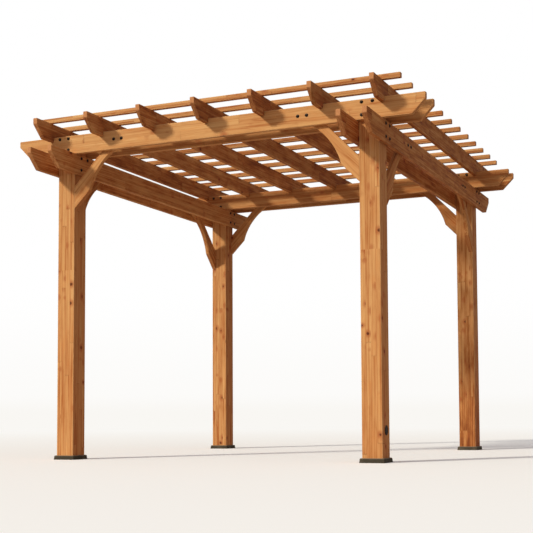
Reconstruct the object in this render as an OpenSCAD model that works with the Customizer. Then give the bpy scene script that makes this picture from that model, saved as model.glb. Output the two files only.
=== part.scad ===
// Open wooden pergola on four square posts. Pairs of boards clamp each post: side beams
// run front to back, headers run across on top of them, notched rafters sit on the headers
// and slats lie across the rafters. Eight hollow-backed knee braces stiffen the corners.
// X runs along the headers, Y from front to back, Z up. The origin is on the floor at the
// middle of the four posts.

/* [Posts] */
// Side of each square post
post_w = 140; // [110:1:180]
// Distance between post centres along the headers
span_x = 2340; // [1900:10:3600]
// Distance between post centres along the side beams
span_y = 2340; // [1900:10:3600]
// Height of the side beams' undersides above the floor
beam_clear = 2058; // [1800:1:2600]

/* [Post boots] */
// Height of each boot
boot_h = 30; // [20:1:60]
// How far a boot's upper rim stands out past the post
boot_rim = 12; // [6:1:25]
// How much further each side stands out at the floor than at the rim
boot_flare = 3; // [0:1:10]
// Slope at the top of the rim, its height and depth
boot_bevel = 4; // [1:1:6]
// Thickness of the boot under the post
boot_floor = 6; // [3:1:12]
// Clearance between a post and the boot's wall
boot_gap = 0.5; // [0:0.1:2]

/* [Boards] */
// Thickness of the headers, side beams, rafters and braces
board_t = 34; // [24:1:50]
// Height of the header boards
header_h = 134; // [100:1:200]
// Height of the side beam boards
beam_h = 145; // [100:1:200]
// Height of the rafters
rafter_h = 130; // [90:1:200]
// Height of the upright part of a board's end, above its 45 degree cut
end_nib = 42; // [20:1:70]
// Header length beyond the post centres, at each end
header_over = 392; // [250:1:600]
// Side beam length beyond the post centres, at each end
beam_over = 392; // [250:1:600]
// Rafter length beyond the post centres, at each end
rafter_over = 305; // [200:1:600]

/* [Roof] */
// Number of rafters
rafter_count = 7; // [5:1:9]
// Depth of the notches that seat a rafter on the header boards
notch_depth = 32; // [15:1:45]
// Clearance between a notch and each side of its header board
notch_gap = 1; // [0:0.5:3]
// Number of slats
slat_count = 12; // [8:1:16]
// Side of the square slats
slat_t = 34; // [20:1:50]
// Slat length beyond the outermost rafters' middles, at each end
slat_over = 137; // [60:1:250]
// Distance from a rafter's end to the middle of the outermost slat
slat_inset = 177; // [100:1:220]

/* [Knee braces] */
// Width of the board that a brace is cut from
brace_w = 117; // [90:1:140]
// Width of a brace at the middle of its hollow
brace_waist = 55; // [40:1:80]
// Length of the hollow, along the brace
brace_hollow = 462; // [350:1:500]
// Distance along the brace from the post to the middle of the hollow
brace_middle = 291; // [240:1:340]
// Distance of the brace's upper corner on the post below the boards' undersides
brace_drop = 228; // [190:1:320]
// How far a beam brace runs up between the side beams
brace_rise = 100; // [60:1:110]
// Clearance between the top of a header brace and the rafters
brace_gap = 2; // [0:0.5:20]

/* [Oval plate] */
// Width of the plain oval plate
plate_w = 56; // [40:1:100]
// Height of the oval plate
plate_h = 64; // [40:1:100]
// Thickness of the oval plate
plate_t = 3; // [2:1:5]
// Height of the plate's middle above the floor
plate_z = 206; // [150:1:600]

/* [Hidden] */
SIDES = ["front", "back"];
ENDS = ["left", "right"];
CORNERS = [for (s = SIDES) for (e = ENDS) str(s, "_", e)];

// Half the distance between post centres
half_x = span_x / 2;
half_y = span_y / 2;
// Distance from a post's centre to the middle of a board clamped to its face
board_off = (post_w + board_t) / 2;

// Heights of the layers, from the floor up
header_z = beam_clear + beam_h;
header_top = header_z + header_h;
rafter_z = header_top - notch_depth;
rafter_top = rafter_z + rafter_h;

// Middles of the two header boards at the front, and of the two at the back
header_ys = [-half_y - board_off, -half_y + board_off, half_y - board_off, half_y + board_off];
beam_xs = [-half_x - board_off, -half_x + board_off, half_x - board_off, half_x + board_off];

// The outermost rafters stand over the outer faces of the outer side beams
rafter_edge = half_x + post_w / 2 + board_t;
rafter_pitch = 2 * rafter_edge / (rafter_count - 1);
rafter_end = half_y + rafter_over;
slat_edge = rafter_end - slat_inset;
slat_pitch = 2 * slat_edge / (slat_count - 1);

// A brace's hollow is an arc with this depth and radius
hollow_depth = brace_w - brace_waist;
hollow_r = (pow(brace_hollow / 2, 2) + pow(hollow_depth, 2)) / (2 * hollow_depth);

// Number of flats round the oval plate's edge
plate_sides = 48;
// Clearance that a cutter runs past what it cuts
cut = 1;

// Moves a piece made at the back right corner to another corner
module at_corner(side, end) {
    mirror([end == "left" ? 1 : 0, 0, 0])
        mirror([0, side == "front" ? 1 : 0, 0])
            children();
}

// Side view of a board with a 45 degree cut under each end, its underside on the X axis
module board_outline(half_length, height) {
    cut_h = height - end_nib;
    polygon([
        [-half_length, height], [half_length, height], [half_length, cut_h],
        [half_length - cut_h, 0], [-half_length + cut_h, 0], [-half_length, cut_h]
    ]);
}

// Stands a side view up along X or Y and gives it a thickness centred on the origin
module along_x(thickness) {
    rotate([90, 0, 0])
        linear_extrude(thickness, center = true)
            children();
}

module along_y(thickness) {
    rotate([90, 0, 90])
        linear_extrude(thickness, center = true)
            children();
}

module post() {
    color("peru")
        translate([half_x - post_w / 2, half_y - post_w / 2, boot_floor])
            cube([post_w, post_w, header_top - boot_floor]);
}

// Side view of a boot's outside: flared sides and a sloped rim
module boot_outline() {
    rim = post_w / 2 + boot_rim;
    foot = rim + boot_flare;
    polygon([
        [-foot, 0], [foot, 0], [rim, boot_h - boot_bevel], [rim - boot_bevel, boot_h],
        [-rim + boot_bevel, boot_h], [-rim, boot_h - boot_bevel]
    ]);
}

module boot() {
    pocket = post_w + 2 * boot_gap;
    blank = post_w + 4 * (boot_rim + boot_flare);
    color([0.08, 0.08, 0.08])
        translate([half_x, half_y, 0])
            difference() {
                intersection() {
                    along_x(blank) boot_outline();
                    along_y(blank) boot_outline();
                }
                translate([-pocket / 2, -pocket / 2, boot_floor])
                    cube([pocket, pocket, boot_h]);
            }
}

module header(y) {
    color("peru")
        translate([0, y, header_z])
            along_x(board_t) board_outline(half_x + header_over, header_h);
}

module beam(x) {
    color("sienna")
        translate([x, 0, beam_clear])
            along_y(board_t) board_outline(half_y + beam_over, beam_h);
}

module rafter(x) {
    notch_w = board_t + 2 * notch_gap;
    color("sienna")
        translate([x, 0, rafter_z])
            along_y(board_t)
                difference() {
                    board_outline(rafter_end, rafter_h);
                    for (y = header_ys)
                        translate([y - notch_w / 2, -cut])
                            square([notch_w, notch_depth + cut]);
                }
}

module slat(y) {
    half_length = rafter_edge + slat_over;
    color("chocolate")
        translate([-half_length, y - slat_t / 2, rafter_top])
            cube([2 * half_length, slat_t, slat_t]);
}

// Side view of a brace. The origin is where the post's face meets the boards' undersides,
// and the brace leans out along +X. Its ends are cut upright at the post and level at the top.
module brace_outline(rise) {
    across = brace_w * sqrt(2);
    difference() {
        polygon([
            [0, -brace_drop], [brace_drop + rise, rise],
            [brace_drop + across + rise, rise], [0, -brace_drop - across]
        ]);
        translate([0, -brace_drop])
            rotate(45)
                translate([brace_middle, -brace_waist - hollow_r])
                    circle(r = hollow_r, $fn = 180);
    }
}

// A brace under the headers, against the inside of the outer header board
module header_brace() {
    color("sienna")
        translate([half_x - post_w / 2, half_y + (post_w - board_t) / 2, header_z])
            mirror([1, 0, 0])
                along_x(board_t) brace_outline(header_h - notch_depth - brace_gap);
}

// A brace under the side beams, against the inside of the outer beam board
module beam_brace() {
    color("sienna")
        translate([half_x + (post_w - board_t) / 2, half_y - post_w / 2, beam_clear])
            mirror([0, 1, 0])
                along_y(board_t) brace_outline(brace_rise);
}

// A plain oval plate on the outer side of the front right post
module oval_plate() {
    color([0.1, 0.09, 0.08])
        translate([half_x + post_w / 2 + plate_t / 2, -half_y, plate_z])
            along_y(plate_t)
                polygon([for (i = [0:plate_sides - 1])
                    [plate_w / 2 * cos(360 * i / plate_sides), plate_h / 2 * sin(360 * i / plate_sides)]]);
}

for (s = SIDES) for (e = ENDS) {
    at_corner(s, e) post();
    at_corner(s, e) boot();
    at_corner(s, e) header_brace();
    at_corner(s, e) beam_brace();
}
header(header_ys[0]);  // header_front_outer
header(header_ys[1]);  // header_front_inner
header(header_ys[2]);  // header_back_inner
header(header_ys[3]);  // header_back_outer
beam(beam_xs[0]);  // beam_left_outer
beam(beam_xs[1]);  // beam_left_inner
beam(beam_xs[2]);  // beam_right_inner
beam(beam_xs[3]);  // beam_right_outer
for (i = [1:rafter_count])
    rafter((i - 1) * rafter_pitch - rafter_edge);
for (i = [1:slat_count])
    slat((i - 1) * slat_pitch - slat_edge);
oval_plate();
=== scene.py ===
"""Looks for the wooden pergola: stained cedar boards, black bolts and boots, a pale floor and a low sun.

Everything is in metres, in the part's own frame: X along the headers, Y from front to back, Z up.
"""
import math

import bmesh
import bpy
from mathutils import Matrix, Vector


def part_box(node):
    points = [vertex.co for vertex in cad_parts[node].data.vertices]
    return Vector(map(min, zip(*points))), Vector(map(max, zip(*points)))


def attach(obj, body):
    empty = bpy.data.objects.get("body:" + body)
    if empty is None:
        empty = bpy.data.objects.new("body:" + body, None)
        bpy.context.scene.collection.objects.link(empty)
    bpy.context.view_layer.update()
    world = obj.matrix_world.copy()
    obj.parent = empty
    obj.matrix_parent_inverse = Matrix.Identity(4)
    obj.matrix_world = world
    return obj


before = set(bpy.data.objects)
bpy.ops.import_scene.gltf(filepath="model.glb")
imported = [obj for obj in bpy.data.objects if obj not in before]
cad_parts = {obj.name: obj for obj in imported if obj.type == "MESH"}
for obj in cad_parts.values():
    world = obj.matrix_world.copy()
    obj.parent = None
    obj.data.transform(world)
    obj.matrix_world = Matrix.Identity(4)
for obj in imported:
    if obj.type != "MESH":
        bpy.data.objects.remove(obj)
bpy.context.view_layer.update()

X, Y, Z = Vector((1, 0, 0)), Vector((0, 1, 0)), Vector((0, 0, 1))
SIDES = ("front", "back")
ENDS = ("left", "right")


def srgb(r, g, b):
    """A colour written as 0 to 255 in sRGB, as the linear RGBA that Blender's sockets take."""
    def linear(c):
        c /= 255
        return c / 12.92 if c <= 0.04045 else ((c + 0.055) / 1.055) ** 2.4
    return (linear(r), linear(g), linear(b), 1.0)


WHITE = (1.0, 1.0, 1.0, 1.0)


# ---------------------------------------------------------------- shader helpers

class Shader:
    """Adds nodes to a tree, filled in with sockets or plain values. All but node give the node's outputs."""

    def __init__(self, tree):
        self.tree = tree

    def put(self, socket, value):
        """Links a socket to an input, or sets a plain value there."""
        if isinstance(value, bpy.types.NodeSocket):
            self.tree.links.new(value, socket)
        else:
            socket.default_value = value

    def node(self, kind, inputs=None, **settings):
        """A new node, with its inputs filled in by name or number."""
        made = self.tree.nodes.new(kind)
        for name, value in settings.items():
            setattr(made, name, value)
        for name, value in (inputs or {}).items():
            self.put(made.inputs[name], value)
        return made

    def math(self, operation, *values):
        return self.node("ShaderNodeMath", dict(enumerate(values)), operation=operation).outputs[0]

    def vector(self, operation, *values, output=0):
        made = self.node("ShaderNodeVectorMath", dict(enumerate(values)), operation=operation)
        return made.outputs[output]

    def split(self, vector):
        return self.node("ShaderNodeSeparateXYZ", {0: vector}).outputs

    def join(self, x, y, z):
        return self.node("ShaderNodeCombineXYZ", {0: x, 1: y, 2: z}).outputs[0]

    def noise(self, vector, scale, detail=2.0, roughness=0.5):
        """Noise from 0 to 1. scale is its frequency per metre along each axis of the vector."""
        stretched = self.vector("MULTIPLY", vector, scale)
        values = {"Vector": stretched, "Scale": 1.0, "Detail": detail, "Roughness": roughness}
        return self.node("ShaderNodeTexNoise", values).outputs[0]

    def grain_noise(self, vector, along, across, detail=2.0, roughness=0.5):
        """Noise drawn out along the grain, with a frequency along it and one across it."""
        return self.noise(vector, (along, across, across), detail, roughness)

    def random(self, vector, seed):
        """A random number and a random vector for each whole-numbered vector."""
        made = self.node("ShaderNodeTexWhiteNoise", {"Vector": vector, "W": seed}, noise_dimensions="4D")
        return made.outputs["Value"], made.outputs["Color"]

    def ease(self, value, start, stop, before=0.0, after=1.0):
        """A smooth step between two values, from before to after. start may lie above stop."""
        values = {"Value": value, "From Min": start, "From Max": stop, "To Min": before, "To Max": after}
        return self.node("ShaderNodeMapRange", values, interpolation_type="SMOOTHSTEP").outputs[0]

    def about(self, value, swing):
        """Turns a value from 0 to 1 into one from -swing / 2 to swing / 2."""
        return self.math("MULTIPLY_ADD", value, swing, -swing / 2)

    def total(self, *values):
        result = values[0]
        for value in values[1:]:
            result = self.math("ADD", result, value)
        return result

    def mix(self, factor, a, b, blend="MIX"):
        made = self.node("ShaderNodeMix", data_type="RGBA", blend_type=blend)
        colours = [s for s in made.inputs if s.type == "RGBA"]
        self.put(made.inputs[0], factor)
        self.put(colours[0], a)
        self.put(colours[1], b)
        return next(s for s in made.outputs if s.type == "RGBA")

    def ramp(self, value, stops):
        made = self.node("ShaderNodeValToRGB", {0: value})
        elements = made.color_ramp.elements
        while len(elements) < len(stops):
            elements.new(1.0)
        for element, (place, colour) in zip(elements, stops):
            element.position = place
            element.color = colour
        return made.outputs[0]


def new_material(name):
    material = bpy.data.materials.new(name)
    material.use_nodes = True
    material.node_tree.nodes.clear()
    return material, Shader(material.node_tree)


def finish_material(sh, surface, height=None, depth=0.0):
    """Joins a shader to the output, with bump of the given depth from a height if there is one."""
    if height is not None:
        bump = sh.node("ShaderNodeBump", {"Height": height, "Strength": 1.0, "Distance": depth})
        sh.put(surface.inputs["Normal"], bump.outputs[0])
    sh.node("ShaderNodeOutputMaterial", {"Surface": surface.outputs[0]})


# ---------------------------------------------------------------- stained cedar

# Tones of the stain, from the darkest latewood to the palest streak
STAIN = [
    (0.00, srgb(118, 59, 28)),
    (0.30, srgb(170, 105, 54)),
    (0.55, srgb(197, 144, 89)),
    (0.80, srgb(212, 165, 107)),
    (1.00, srgb(222, 187, 134)),
]
MIDDLE_TONE = 0.56
PALEST = STAIN[-1][1]
# The stain's colour is multiplied by the first where it is redder, and by the second as painted shade on the
# boards that lie in the roof's shade
RED_STAIN = (0.95, 0.76, 0.62, 1.0)
PAINTED_SHADE_TINT = (0.50, 0.52, 0.56, 1.0)
KNOT_DARK = srgb(88, 42, 22)
KNOT_RIM = srgb(160, 84, 44)
# A board's cut end, and the rings on it
END_GRAIN = srgb(204, 144, 96)
END_RING = srgb(160, 104, 66)

RING_WIDTH = 0.0042
# Length of the pieces that are joined end to end by fingers, and each finger's width and depth
PIECE_LENGTH = 1.25
FINGER_WIDTH, FINGER_DEPTH = 0.006, 0.009
# How far the grain of one piece may lie from that of the next, in metres
PIECE_SHIFT = (9.0, 7.0, 5.0)
# Cells per metre in which a knot may lie. A knot's reach is between these shares of its cell
KNOT_CELLS = (9.5, 9.0, 9.0)
KNOT_LEAST, KNOT_MOST = 0.070, 0.160
# How far apart the rings' hearts may lie from side to side, and their least and greatest depth in the wood
HEART_SIDE = 0.15
HEART_NEAR, HEART_FAR = 0.035, 0.125
# How far the rings wander along a board, ripple, and are pushed aside by a knot
RING_WANDER, RING_RIPPLE, RING_PUSH = 0.050, 0.0035, 0.007
# A post gets darker towards its foot between these heights from its middle. On the back right post this is
# painted shade, for the roof's shadow that lies over it
FOOT_START, FOOT_STOP = -0.20, -1.15
# Each mark starts to show at its first distance and is full at its second. Those of a knot and the halo
# round it are in the knot's own reach, and the others in metres
KNOT_FADE, HALO_FADE = (1.05, 0.60), (3.0, 0.8)
SEAM_FADE, GLUE_FADE, WEAR_FADE = (0.0035, 0.0008), (0.0011, 0.0004), (0.006, 0.002)
BUMP_DEPTH = 0.0006

CEDAR_INPUTS = (("Local", "Vector"), ("Half Size", "Vector"), ("Grain", "Vector"), ("Seed", "Float"),
                ("Tone", "Float"), ("Red", "Float"), ("Coat", "Float"), ("Strip", "Float"),
                ("Strip Contrast", "Float"), ("Knots", "Float"), ("Figure", "Float"), ("Mottle", "Float"),
                ("Foot", "Float"))
CEDAR_OUTPUTS = (("Color", "Color"), ("Roughness", "Float"), ("Height", "Float"))


def timber_pieces(sh, x, y, z, strip, seed):
    """Glued strips, each a row of pieces with finger joints.

    Gives the distance along the row, and each piece's random number and random vector.
    """
    row = sh.math("FLOOR", sh.math("DIVIDE", y, strip))
    layer = sh.math("FLOOR", sh.math("DIVIDE", z, strip))
    shift, _ = sh.random(sh.join(row, layer, 0.0), seed)
    zigzag = sh.math("PINGPONG", y, FINGER_WIDTH / 2)
    finger = sh.math("MULTIPLY", zigzag, FINGER_DEPTH / (FINGER_WIDTH / 2))
    along = sh.total(x, sh.math("MULTIPLY", shift, PIECE_LENGTH), finger)
    piece = sh.math("FLOOR", sh.math("DIVIDE", along, PIECE_LENGTH))
    tone, place = sh.random(sh.join(piece, row, layer), seed)
    return along, tone, place


def cedar_knots(sh, moved, share):
    """Knots, each in a cell of its own and only in a share of the cells, and the halo round each knot."""
    cells = sh.vector("MULTIPLY", moved, KNOT_CELLS)
    voronoi = sh.node("ShaderNodeTexVoronoi", {"Vector": cells, "Scale": 1.0}, feature="F1").outputs
    chance, size, _ = sh.split(voronoi["Color"])
    there = sh.math("LESS_THAN", chance, share)
    reach = sh.math("MULTIPLY_ADD", size, KNOT_MOST - KNOT_LEAST, KNOT_LEAST)
    ragged = sh.about(sh.grain_noise(moved, along=26.0, across=60.0), 0.9)
    from_middle = sh.total(sh.math("DIVIDE", voronoi["Distance"], reach), ragged)
    knot = sh.math("MULTIPLY", sh.ease(from_middle, *KNOT_FADE), there)
    halo = sh.math("MULTIPLY", sh.ease(from_middle, *HALO_FADE), there)
    return knot, halo


def growth_rings(sh, moved, y, z, heart, halo):
    """Growth rings round a heart that wanders beside the board. The knots push them aside.

    Gives the dark late wood of every ring, and the same where it is let fade along the board.
    """
    _, heart_y, heart_z = sh.split(heart)
    off_y = sh.total(y, sh.about(heart_y, HEART_SIDE))
    off_z = sh.total(z, sh.math("MULTIPLY_ADD", heart_z, HEART_FAR - HEART_NEAR, HEART_NEAR))
    radius = sh.math("SQRT", sh.total(sh.math("MULTIPLY", off_y, off_y), sh.math("MULTIPLY", off_z, off_z)))
    wander = sh.about(sh.grain_noise(moved, along=0.9, across=3.0), RING_WANDER)
    ripple = sh.about(sh.grain_noise(moved, along=7.0, across=30.0), RING_RIPPLE)
    radius = sh.total(radius, wander, ripple, sh.math("MULTIPLY", halo, RING_PUSH))
    phase = sh.math("FRACT", sh.math("DIVIDE", radius, RING_WIDTH))
    late = sh.math("MULTIPLY", sh.ease(phase, 0.35, 0.92), sh.ease(phase, 1.0, 0.94))
    return late, sh.math("MULTIPLY", late, sh.grain_noise(moved, along=2.0, across=14.0, detail=1.0))


def worn_edges(sh, local, y, z, half_size):
    """1 or less along a board's eased edges, where the stain has worn thin in patches."""
    _, half_y, half_z = sh.split(half_size)
    gap_y = sh.math("SUBTRACT", half_y, sh.math("ABSOLUTE", y))
    gap_z = sh.math("SUBTRACT", half_z, sh.math("ABSOLUTE", z))
    to_edge = sh.math("ABSOLUTE", sh.math("ADD", gap_y, gap_z))
    patchy = sh.ease(sh.grain_noise(local, along=9.0, across=60.0), 0.35, 0.75)
    return sh.math("MULTIPLY", sh.ease(to_edge, *WEAR_FADE), sh.math("MULTIPLY_ADD", patchy, 0.35, 0.10))


def finger_seams(sh, along, moved):
    """Dark, uneven seams where the pieces' fingers meet."""
    to_seam = sh.math("PINGPONG", along, PIECE_LENGTH / 2)
    inked = sh.ease(sh.grain_noise(moved, along=9.0, across=22.0), 0.42, 0.62)
    return sh.math("MULTIPLY", sh.ease(to_seam, *SEAM_FADE), sh.math("MULTIPLY_ADD", inked, 0.55, 0.10))


def glue_lines(sh, y, strip):
    """Fine lines between the strips."""
    to_line = sh.math("PINGPONG", y, sh.math("MULTIPLY", strip, 0.5))
    return sh.math("MULTIPLY", sh.ease(to_line, *GLUE_FADE), 0.30)


def cedar_group():
    """Stained cedar in a board's own coordinates: X along the grain, Y across its width, Z through it."""
    tree = bpy.data.node_groups.new("stained_cedar", "ShaderNodeTree")
    for name, kind in CEDAR_INPUTS:
        tree.interface.new_socket(name, in_out="INPUT", socket_type="NodeSocket" + kind)
    for name, kind in CEDAR_OUTPUTS:
        tree.interface.new_socket(name, in_out="OUTPUT", socket_type="NodeSocket" + kind)
    sh = Shader(tree)
    given = sh.node("NodeGroupInput").outputs
    local, strip = given["Local"], given["Strip"]
    x, y, z = sh.split(local)

    along, piece_tone, piece_place = timber_pieces(sh, x, y, z, strip, given["Seed"])
    moved = sh.vector("ADD", local, sh.vector("MULTIPLY", piece_place, PIECE_SHIFT))
    knot, halo = cedar_knots(sh, moved, given["Knots"])
    late, ring = growth_rings(sh, moved, y, z, piece_place, halo)

    # The tone: streaks, rings, fibres, blotches and patches of the stain, and a post darker towards its
    # foot, which on the back right post is painted shade
    streak = sh.grain_noise(moved, along=1.6, across=52.0, detail=3.0, roughness=0.6)
    line = sh.grain_noise(moved, along=1.1, across=130.0)
    broad = sh.grain_noise(moved, along=0.7, across=16.0)
    fibre = sh.grain_noise(moved, along=14.0, across=620.0, roughness=0.6)
    blotch = sh.grain_noise(moved, along=2.2, across=5.0)
    cloud = sh.grain_noise(moved, along=6.5, across=23.0, detail=3.0, roughness=0.6)
    figure = sh.total(sh.about(streak, 1.20), sh.about(line, 1.00), sh.about(broad, 0.40),
                      sh.math("MULTIPLY", ring, -0.34))
    tone = sh.total(given["Tone"], sh.about(fibre, 0.16), sh.about(blotch, 0.30),
                    sh.math("MULTIPLY", sh.about(piece_tone, 1.0), given["Strip Contrast"]),
                    sh.math("MULTIPLY", sh.about(cloud, 1.0), given["Mottle"]),
                    sh.math("MULTIPLY", sh.ease(x, FOOT_START, FOOT_STOP, 0.0, -1.0), given["Foot"]),
                    sh.math("MULTIPLY", figure, given["Figure"]))

    # Its colour: redder in the clouds and round the knots, and darker by painted shade on the boards that
    # lie in the roof's shade
    ruddy = sh.total(given["Red"], sh.ease(cloud, 0.50, 0.70, 0.0, 0.50))
    colour = sh.mix(ruddy, sh.ramp(tone, STAIN), RED_STAIN, blend="MULTIPLY")
    colour = sh.mix(given["Coat"], colour, PAINTED_SHADE_TINT, blend="MULTIPLY")
    colour = sh.mix(sh.math("MULTIPLY", halo, 0.68), colour, KNOT_RIM)
    colour = sh.mix(sh.math("MULTIPLY", knot, 0.90), colour, KNOT_DARK)
    colour = sh.mix(finger_seams(sh, along, moved), colour, KNOT_DARK)
    glue = glue_lines(sh, y, strip)
    colour = sh.mix(glue, colour, KNOT_RIM)
    colour = sh.mix(worn_edges(sh, local, y, z, given["Half Size"]), colour, PALEST)

    # Cut ends drink more stain and show their rings
    normal = sh.node("ShaderNodeNewGeometry").outputs["Normal"]
    facing = sh.math("ABSOLUTE", sh.vector("DOT_PRODUCT", normal, given["Grain"], output="Value"))
    cut_end = sh.ease(facing, 0.55, 0.95)
    end_colour = sh.mix(sh.math("MULTIPLY", late, 0.55), END_GRAIN, END_RING)
    colour = sh.mix(sh.math("MULTIPLY", cut_end, 0.72), colour, end_colour)

    rough = sh.total(0.80, sh.about(streak, 0.14), sh.math("MULTIPLY", ring, -0.08),
                     sh.math("MULTIPLY", cut_end, 0.15))
    height = sh.total(sh.math("MULTIPLY", fibre, 0.45), sh.math("MULTIPLY", ring, 0.35),
                      sh.math("MULTIPLY", knot, 0.5), sh.math("MULTIPLY", glue, -0.8))
    sh.node("NodeGroupOutput", {"Color": colour, "Roughness": rough, "Height": height})
    return tree


CEDAR = cedar_group()


def cedar(node, grain, width, seed, stain, wood):
    """Cedar for one board, from the directions of its grain and its width.

    stain says how light the board is, how red, and how much painted shade darkens it. wood holds the
    values that its kind of board sets in the node group.
    """
    tone, red, painted_shade = stain
    low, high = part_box(node)
    thick = grain.cross(width)
    turn = Matrix((grain, width, thick))
    half = [abs(axis.dot(high - low)) / 2 for axis in (grain, width, thick)]
    slanted = max(abs(part) for part in grain) < 0.9
    if slanted:
        half[1] = 1.0  # Further out than a brace's long edges, which keep their stain
    material, sh = new_material(f"cedar_{node}")
    place = sh.node("ShaderNodeTexCoord").outputs["Object"]
    mapping = sh.node("ShaderNodeMapping", {"Vector": place, "Location": -(turn @ ((low + high) / 2)),
                                            "Rotation": turn.to_euler("XYZ")})
    values = {"Local": mapping.outputs[0], "Half Size": half, "Grain": grain, "Seed": seed,
              "Tone": MIDDLE_TONE + tone, "Red": red, "Coat": painted_shade}
    group = sh.node("ShaderNodeGroup", node_tree=CEDAR)
    for key, value in {**values, **wood}.items():
        sh.put(group.inputs[key], value)
    surface = sh.node("ShaderNodeBsdfPrincipled", {
        "Base Color": group.outputs["Color"], "Roughness": group.outputs["Roughness"],
        "Specular IOR Level": 0.12})
    finish_material(sh, surface, group.outputs["Height"], BUMP_DEPTH)
    return material


# ---------------------------------------------------------------- black parts

# Painted highlight: faces that look up, like the boots' top bevel, are made paler
UPWARD_PAINTED_HIGHLIGHT = srgb(150, 128, 104)


def black_material(name, colour, rough, grain_scale, depth):
    """Black paint or moulded plastic with a fine texture, rubbed patches, and a painted highlight that makes
    the faces that look up paler.
    """
    material, sh = new_material(name)
    place = sh.node("ShaderNodeTexCoord").outputs["Object"]
    patches = sh.noise(place, (14.0, 14.0, 14.0), 3.0, 0.6)
    fine = sh.noise(place, (grain_scale, grain_scale, grain_scale), 2.0, 0.6)
    rubbed = tuple(c * 2.0 + 0.004 for c in colour[:3]) + (1.0,)
    shade = sh.mix(sh.ease(patches, 0.40, 0.80), colour, rubbed)
    # Painted highlight: the faces that look up are mixed towards a paler colour
    _, _, up = sh.split(sh.node("ShaderNodeNewGeometry").outputs["Normal"])
    shade = sh.mix(sh.ease(up, 0.25, 0.70, 0.0, 0.55), shade, UPWARD_PAINTED_HIGHLIGHT)
    roughness = sh.total(rough, sh.about(patches, 0.20), sh.about(fine, 0.10))
    surface = sh.node("ShaderNodeBsdfPrincipled", {"Base Color": shade, "Roughness": roughness,
                                                   "Specular IOR Level": 0.04})
    finish_material(sh, surface, fine, depth)
    return material


BOOT_BLACK = black_material("boot_plastic", srgb(64, 58, 47), 0.72, 900.0, 0.0003)
BOLT_BLACK = black_material("black_metal", srgb(38, 31, 26), 0.60, 1500.0, 0.0001)


# ---------------------------------------------------------------- dressing the frame

# How far the sharp edges are rounded: on posts and boards, on slats and braces, on boots, and on the plate
BOARD_EDGE, THIN_EDGE, BOOT_EDGE, PLATE_EDGE = 0.004, 0.003, 0.0015, 0.001

# How light the stain is on each kind of board, how red, and how much painted shade darkens it where it lies
# in the roof's shade, and on the boards that stand out
STAINS = {
    "post": (0.022, 0.26, 0.0),
    "header": (-0.08, 0.15, 0.16),
    "beam": (-0.12, 0.20, 0.0),
    "rafter": (-0.17, 0.12, 0.12),
    "slat": (-0.08, 0.15, 0.24),
    "header_brace": (-0.04, 0.10, 0.02),
    "beam_brace": (-0.11, 0.22, 0.06),
    "post_front_right": (0.050, 0.20, 0.0),
    "post_back_left": (-0.02, 0.12, 0.0),
    "post_back_right": (-0.05, 0.10, 0.06),
    "header_front_outer": (0.08, 0.24, 0.0),
    "header_front_inner": (-0.03, 0.15, 0.0),
    "header_back_outer": (-0.12, 0.18, 0.16),
    "beam_left_outer": (-0.12, 0.20, 0.05),
    "beam_left_inner": (-0.06, 0.22, 0.03),
    "beam_right_inner": (-0.22, 0.06, 0.10),
    "beam_right_outer": (-0.19, 0.04, 0.02),
    "header_brace_front_left": (-0.04, 0.32, 0.02),
    "header_brace_front_right": (0.06, 0.42, 0.0),
    "header_brace_back_right": (-0.12, 0.10, 0.03),
    "rafter_3": (-0.18, 0.20, 0.06),
    "rafter_4": (-0.22, 0.12, 0.28),
    "rafter_5": (-0.27, 0.15, 0.10),
    "rafter_6": (-0.12, 0.16, 0.42),
    "rafter_7": (-0.26, 0.05, 0.12),
    "slat_1": (-0.04, 0.10, 0.0),
    "slat_2": (0.00, 0.10, 0.0),
    "slat_5": (0.00, 0.15, 0.0),
    "slat_6": (-0.12, 0.18, 0.40),
    "slat_7": (-0.13, 0.30, 0.30),
    "slat_9": (-0.13, 0.25, 0.32),
    "slat_10": (-0.07, 0.22, 0.24),
    "slat_11": (-0.09, 0.25, 0.40),
    "slat_12": (-0.09, 0.08, 0.0),
}

# Each post is glued from narrow strips. Strips this wide make a board of two halves
POST_STRIP = 0.035
HALVES = 1.0


def wood_of(strip, contrast, knots, figure, mottle=0.0, foot=0.0):
    """What sets one kind of board's wood apart.

    contrast is how much its glued strips differ in tone, knots the share of cells that hold a knot,
    figure the strength of its streaks and rings, mottle that of its patches, and foot how much darker
    a post gets towards its foot.
    """
    return {"Strip": strip, "Strip Contrast": contrast, "Knots": knots, "Figure": figure,
            "Mottle": mottle, "Foot": foot}


def post_wood(mottle, foot):
    return wood_of(POST_STRIP, 0.08, 0.95, 0.76, mottle, foot)


WOODS = {
    "post_front_left": post_wood(0.35, 0.08),
    "post_front_right": post_wood(0.35, 0.09),
    "post_back_left": post_wood(0.45, 0.04),
    # Its much darker foot is painted shade, for the roof's shadow that lies over this post
    "post_back_right": post_wood(0.80, 0.28),
    "header_brace": wood_of(HALVES, 0.10, 0.18, 0.50),
    "beam_brace": wood_of(HALVES, 0.10, 0.18, 0.75),
    "header": wood_of(HALVES, 0.12, 0.40, 0.52, 0.25),
    "beam": wood_of(HALVES, 0.12, 0.40, 0.58, 0.75),
    "rafter": wood_of(HALVES, 0.12, 0.40, 0.48, 0.95),
    "slat": wood_of(HALVES, 0.20, 0.25, 0.75, 0.35),
}
# How much the tone of one board may differ from that of the next of its kind
POST_SWING, BRACE_SWING, BOARD_SWING = 0.05, 0.06, 0.10
# Added to a corner's seed for its braces, past the seeds of all other boards
BRACE_SEEDS = 40


def spread(number):
    """A repeatable value from -0.5 to 0.5 for each whole number, spread evenly by the golden ratio."""
    return (number * 0.618034) % 1.0 - 0.5


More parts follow.
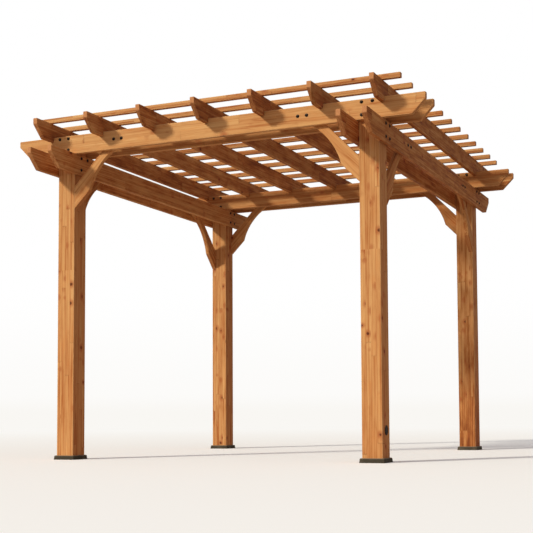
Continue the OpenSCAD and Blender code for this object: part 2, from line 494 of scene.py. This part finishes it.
def stain_of(kind, node, seed, swing):
    """The stain of one board: its own, or that of its kind with a small swing in tone."""
    if node in STAINS:
        return STAINS[node]
    tone, red, painted_shade = STAINS[kind]
    return tone + swing * spread(seed), red, painted_shade


def ease_edges(obj, width):
    """Rounds a piece's sharp edges by modifiers, which leave its mesh in the frame as it is."""
    weld = obj.modifiers.new("weld", "WELD")
    weld.merge_threshold = 1e-5
    bevel = obj.modifiers.new("eased_edges", "BEVEL")
    bevel.width = width
    bevel.segments = 2
    bevel.limit_method = "ANGLE"
    bevel.angle_limit = math.radians(25)


def dress(node, material, edge):
    """Gives a node its one material and its slot, and rounds its edges."""
    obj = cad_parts[node]
    obj.data.materials.clear()
    obj.data.materials.append(material)
    ease_edges(obj, edge)


def brace_directions(side, end, along):
    """The way a brace climbs from its post, under a header or a side beam, and the way it is wide."""
    if along == "header":
        lean, flat = (X if end == "left" else -X), Y
    else:
        lean, flat = (Y if side == "front" else -Y), X
    grain = (lean + Z).normalized()
    return grain, flat.cross(grain)


def dress_corner(side, end, seed):
    """A post, its boot and its two braces."""
    corner = f"{side}_{end}"
    node = f"post_{corner}"
    post = cedar(node, Z, X, seed, stain_of("post", node, seed, POST_SWING), WOODS[node])
    dress(node, post, BOARD_EDGE)
    dress(f"boot_{corner}", BOOT_BLACK, BOOT_EDGE)
    for along in ("header", "beam"):
        kind = f"{along}_brace"
        node = f"{kind}_{corner}"
        grain, width = brace_directions(side, end, along)
        stain = stain_of(kind, node, seed, BRACE_SWING)
        brace = cedar(node, grain, width, seed + BRACE_SEEDS, stain, WOODS[kind])
        dress(node, brace, THIN_EDGE)


def dress_board(kind, node, grain, seed, edge=BOARD_EDGE):
    """A board that lies level, with its width upright."""
    wood = cedar(node, grain, Z, seed, stain_of(kind, node, seed, BOARD_SWING), WOODS[kind])
    dress(node, wood, edge)


def numbered(kind):
    """The nodes of a kind that are told apart by a number, in order."""
    nodes = [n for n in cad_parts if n.startswith(kind + "_")]
    return sorted(nodes, key=lambda n: int(n.split("_")[1]))


def dress_all():
    """Dresses every node. Each corner and each level board has the next seed."""
    seed = 0
    for side in SIDES:
        for end in ENDS:
            seed += 1
            dress_corner(side, end, seed)
    headers = ("front_outer", "front_inner", "back_inner", "back_outer")
    beams = ("left_outer", "left_inner", "right_inner", "right_outer")
    boards = [("header", f"header_{place}", X) for place in headers]
    boards += [("beam", f"beam_{place}", Y) for place in beams]
    boards += [("rafter", node, Y) for node in numbered("rafter")]
    for kind, node, grain in boards:
        seed += 1
        dress_board(kind, node, grain, seed)
    for node in numbered("slat"):
        seed += 1
        dress_board("slat", node, X, seed, THIN_EDGE)
    dress("oval_plate", BOLT_BLACK, PLATE_EDGE)


dress_all()


# ---------------------------------------------------------------- bolts and the oval plate's rim

BOLT_SIDES = 24
WASHER_R, WASHER_T = 0.0120, 0.0018
# The bevel on a washer's rim: how far in it reaches, and the share of the thickness that lies below it
WASHER_BEVEL, WASHER_UPRIGHT = 0.0007, 0.6
# The head, the small slope where it stands on the washer, and the shallow socket in its top
HEAD_R, HEAD_H = 0.0085, 0.0055
SLOPE_OUT, SLOPE_UP = 0.0002, 0.0006
SOCKET_R, SOCKET_DEPTH = 0.0026, 0.0025
# The head's round, as the angles where it starts and stops and its number of steps
ROUND_START, ROUND_STOP, ROUND_STEPS = math.radians(12), math.radians(72), 5

# Bolts stand this far each side of a post's middle, and these heights above a board's underside
BOLT_SPREAD = 0.037
HEADER_BOLTS = (0.031, 0.115)
BEAM_BOLTS = (0.036, 0.122)
# Bolts through the braces stand this far from a post's face, at one height on each kind of board
BRACE_BOLTS = (0.353, 0.417)
HEADER_BRACE_BOLT, BEAM_BRACE_BOLT = 0.072, 0.085


def facing(place, out):
    """The matrix that puts a shape's origin at place and its Z axis along out."""
    return Matrix.Translation(place) @ out.to_track_quat("Z", "Y").to_matrix().to_4x4()


def loft(mesh, turn, profile, sides):
    """Joins ellipses to one another, each given as its two radii and its height along the turned Z axis."""
    angles = [2 * math.pi * k / sides for k in range(sides)]
    rings = []
    for wide, tall, height in profile:
        points = [Vector((wide * math.cos(a), tall * math.sin(a), height)) for a in angles]
        rings.append([mesh.verts.new(turn @ point) for point in points])
    for lower, upper in zip(rings, rings[1:]):
        for k in range(sides):
            after = (k + 1) % sides
            mesh.faces.new((lower[k], lower[after], upper[after], upper[k])).smooth = True
    return rings


def black_piece(name, mesh):
    """Turns a finished mesh into a piece of black metal."""
    data = bpy.data.meshes.new(name)
    mesh.to_mesh(data)
    mesh.free()
    data.materials.append(BOLT_BLACK)
    piece = bpy.data.objects.new(name, data)
    bpy.context.scene.collection.objects.link(piece)
    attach(piece, "root")


def bolt_profile():
    """Radius and height of each ring of a bolt: a bevelled washer, a round head and its socket."""
    profile = [(WASHER_R, 0.0), (WASHER_R, WASHER_T * WASHER_UPRIGHT), (WASHER_R - WASHER_BEVEL, WASHER_T),
               (HEAD_R + SLOPE_OUT, WASHER_T), (HEAD_R, WASHER_T + SLOPE_UP)]
    widest = HEAD_R / math.cos(ROUND_START)
    for i in range(ROUND_STEPS + 1):
        angle = ROUND_START + (ROUND_STOP - ROUND_START) * i / ROUND_STEPS
        profile.append((widest * math.cos(angle), WASHER_T + HEAD_H * math.sin(angle)))
    top = profile[-1][1]
    return profile + [(SOCKET_R, top), (SOCKET_R, top - SOCKET_DEPTH)]


def bolt_piece(name, bolts):
    """One piece that holds many bolts, each given as its place and the way it points."""
    mesh = bmesh.new()
    profile = [(r, r, h) for r, h in bolt_profile()]
    for place, out in bolts:
        rings = loft(mesh, facing(place, out), profile, BOLT_SIDES)
        mesh.faces.new(rings[-1])
        mesh.faces.new(rings[0][::-1])
    black_piece(name, mesh)


def board_bolts(node, axis, sign, heights, brace_height=None):
    """Bolts on a board's low or high side along an axis: four at each post, and two at each brace."""
    along = 1 - axis
    low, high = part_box(node)
    face = high[axis] if sign > 0 else low[axis]
    post_low, post_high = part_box("post_back_right")
    middle = (post_low[along] + post_high[along]) / 2
    spots = [(middle + s * BOLT_SPREAD, height) for s in (-1, 1) for height in heights]
    if brace_height is not None:
        spots += [(post_low[along] - distance, brace_height) for distance in BRACE_BOLTS]
    bolts = []
    for end in (-1, 1):
        for distance, height in spots:
            place = Vector((0, 0, low.z + height))
            place[axis] = face
            place[along] = end * distance
            bolts.append((place, (X, Y)[axis] * sign))
    return bolts


def add_bolts():
    """A pair of boards makes one piece of bolts: those on its outer board and those on its inner board."""
    for end, sign in (("front", -1), ("back", 1)):
        outer = board_bolts(f"header_{end}_outer", 1, sign, HEADER_BOLTS, HEADER_BRACE_BOLT)
        inner = board_bolts(f"header_{end}_inner", 1, -sign, HEADER_BOLTS)
        bolt_piece(f"bolts_{end}_header", outer + inner)
    for end, sign in (("left", -1), ("right", 1)):
        outer = board_bolts(f"beam_{end}_outer", 0, sign, BEAM_BOLTS, BEAM_BRACE_BOLT)
        inner = board_bolts(f"beam_{end}_inner", 0, -sign, BEAM_BOLTS)
        bolt_piece(f"bolts_{end}_beam", outer + inner)


# The rim of the oval plate, as steps in from its edge and out from its face
RIM_SIDES = 64
RIM = ((0.0004, 0.0), (0.0006, 0.0009), (0.0016, 0.0013), (0.0028, 0.0010), (0.0032, 0.0))
# The two domes that hold the plate, as radii and heights, and how far in from its edge they stand
DOME_SIDES = 16
DOME = ((0.0028, 0.0), (0.0026, 0.0008), (0.0017, 0.0014), (0.0006, 0.0016))
DOME_INSET = 0.010


def plate_rim():
    """A raised rim round the plain oval plate, and a small dome at its top and bottom that holds it on."""
    low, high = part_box("oval_plate")
    centre = (low + high) / 2
    centre.x = high.x
    half_w, half_h = (high.y - low.y) / 2, (high.z - low.z) / 2
    mesh = bmesh.new()
    rim = [(half_w - inset, half_h - inset, out) for inset, out in RIM]
    loft(mesh, facing(centre, X), rim, RIM_SIDES)
    for end in (-1, 1):
        spot = centre + Z * end * (half_h - DOME_INSET)
        rings = loft(mesh, facing(spot, X), [(r, r, h) for r, h in DOME], DOME_SIDES)
        mesh.faces.new(rings[-1]).smooth = True
    black_piece("oval_plate_rim", mesh)


add_bolts()
plate_rim()


# ---------------------------------------------------------------- floor, background and light

# The floor as the camera sees it, and as the light that it sends back
FLOOR_NEAR = srgb(251, 249, 244)
FLOOR_BOUNCE = srgb(203, 184, 170)
# How far the floor reaches each way, and where it fades into the plain background
FLOOR_REACH = 60.0
FADE_START, FADE_STOP = 1.0, 14.5
# The background at the horizon and just above it, and the slopes at which each colour gives way to the next
HORIZON = srgb(249, 247, 243)
HAZE = srgb(252, 251, 249)
HAZE_START, HAZE_STOP = 0.0, 0.02
WHITE_START, WHITE_STOP = 0.01, 0.12
# The sky's light: its mean strength, its tint, the side on which it is brighter, and by what share
SKY_LIGHT = 0.47
SKY_TINT = (1.0, 0.955, 1.0, 1.0)
SKY_SIDE = Vector((-0.15, -1.00, 0.00))
SKY_SWING = 0.62
SUN_TRAVEL = Vector((0.75, 1.00, -0.70))
SUN_STRENGTH = 2.93
SUN_COLOUR = (1.0, 0.975, 0.88)
SUN_ANGLE = math.radians(7.0)
# Where the lamp object stands, which changes nothing in its light
SUN_PLACE = (-4.0, -6.0, 5.0)


def seen(sh):
    """1 for rays that show a surface to the camera, straight, by a reflection or through glass."""
    path = sh.node("ShaderNodeLightPath").outputs
    shown = sh.math("MAXIMUM", path["Is Camera Ray"], path["Is Glossy Ray"])
    return sh.math("MAXIMUM", shown, path["Is Transmission Ray"])


def make_floor():
    """A pale floor that keeps the shadow near the object and fades into the background further off."""
    mesh = bmesh.new()
    bmesh.ops.create_grid(mesh, x_segments=1, y_segments=1, size=FLOOR_REACH)
    data = bpy.data.meshes.new("floor")
    mesh.to_mesh(data)
    mesh.free()
    floor = bpy.data.objects.new("floor", data)
    bpy.context.scene.collection.objects.link(floor)
    material, sh = new_material("pale_floor")
    place = sh.node("ShaderNodeTexCoord").outputs["Object"]
    away = sh.vector("LENGTH", place, output="Value")
    lit = sh.node("ShaderNodeBsdfDiffuse", {"Color": sh.mix(seen(sh), FLOOR_BOUNCE, FLOOR_NEAR)})
    plain = sh.node("ShaderNodeEmission", {"Color": HORIZON, "Strength": seen(sh)})
    fade = sh.ease(away, FADE_START, FADE_STOP)
    surface = sh.node("ShaderNodeMixShader", {0: fade, 1: lit.outputs[0], 2: plain.outputs[0]})
    finish_material(sh, surface)
    data.materials.append(material)


def make_world():
    """A white background for the camera, and a soft sky that lights the object more from one side."""
    world = bpy.data.worlds.new("studio")
    bpy.context.scene.world = world
    world.use_nodes = True
    world.node_tree.nodes.clear()
    sh = Shader(world.node_tree)
    direction = sh.node("ShaderNodeTexCoord").outputs["Generated"]
    _, _, climb = sh.split(direction)
    colour = sh.mix(sh.ease(climb, HAZE_START, HAZE_STOP), HORIZON, HAZE)
    colour = sh.mix(sh.ease(climb, WHITE_START, WHITE_STOP), colour, WHITE)
    colour = sh.mix(seen(sh), SKY_TINT, colour)
    favoured = sh.vector("DOT_PRODUCT", direction, SKY_SIDE, output="Value")
    light = sh.math("MULTIPLY_ADD", favoured, SKY_LIGHT * SKY_SWING, SKY_LIGHT)
    strength = sh.math("MAXIMUM", seen(sh), light)
    background = sh.node("ShaderNodeBackground", {"Color": colour, "Strength": strength})
    sh.node("ShaderNodeOutputWorld", {"Surface": background.outputs[0]})


def make_sun():
    light = bpy.data.lights.new("sun", "SUN")
    light.energy = SUN_STRENGTH
    light.angle = SUN_ANGLE
    light.color = SUN_COLOUR
    sun = bpy.data.objects.new("sun", light)
    sun.rotation_mode = "QUATERNION"
    sun.rotation_quaternion = SUN_TRAVEL.to_track_quat("-Z", "Y")
    sun.location = SUN_PLACE
    bpy.context.scene.collection.objects.link(sun)


make_floor()
make_world()
make_sun()


# ---------------------------------------------------------------- camera

CAMERA_PLACE = Vector((3.4777, -7.6111, 0.3192))
# Its heading from Y towards X, its slope and its roll, in radians
YAW, PITCH, ROLL = -0.388792, 0.060927, -0.007841
LENS, SENSOR = 71.94, 36.0
SHIFT_X, SHIFT_Y = -0.1141, 0.1528


def make_camera():
    """A low camera to the right of the front, looking up at the roof."""
    forward = Vector((math.sin(YAW) * math.cos(PITCH), math.cos(YAW) * math.cos(PITCH), math.sin(PITCH)))
    level = Vector((math.cos(YAW), -math.sin(YAW), 0))
    upward = level.cross(forward)
    right = level * math.cos(ROLL) + upward * math.sin(ROLL)
    up = -level * math.sin(ROLL) + upward * math.cos(ROLL)
    data = bpy.data.cameras.new("camera")
    data.sensor_width = SENSOR
    data.lens = LENS
    data.shift_x = SHIFT_X
    data.shift_y = SHIFT_Y
    data.clip_end = 200.0
    camera = bpy.data.objects.new("camera", data)
    turn = Matrix((right, up, -forward)).transposed().to_4x4()
    camera.matrix_world = Matrix.Translation(CAMERA_PLACE) @ turn
    bpy.context.scene.collection.objects.link(camera)
    bpy.context.scene.camera = camera


make_camera()
bpy.context.scene.view_settings.view_transform = "Standard"
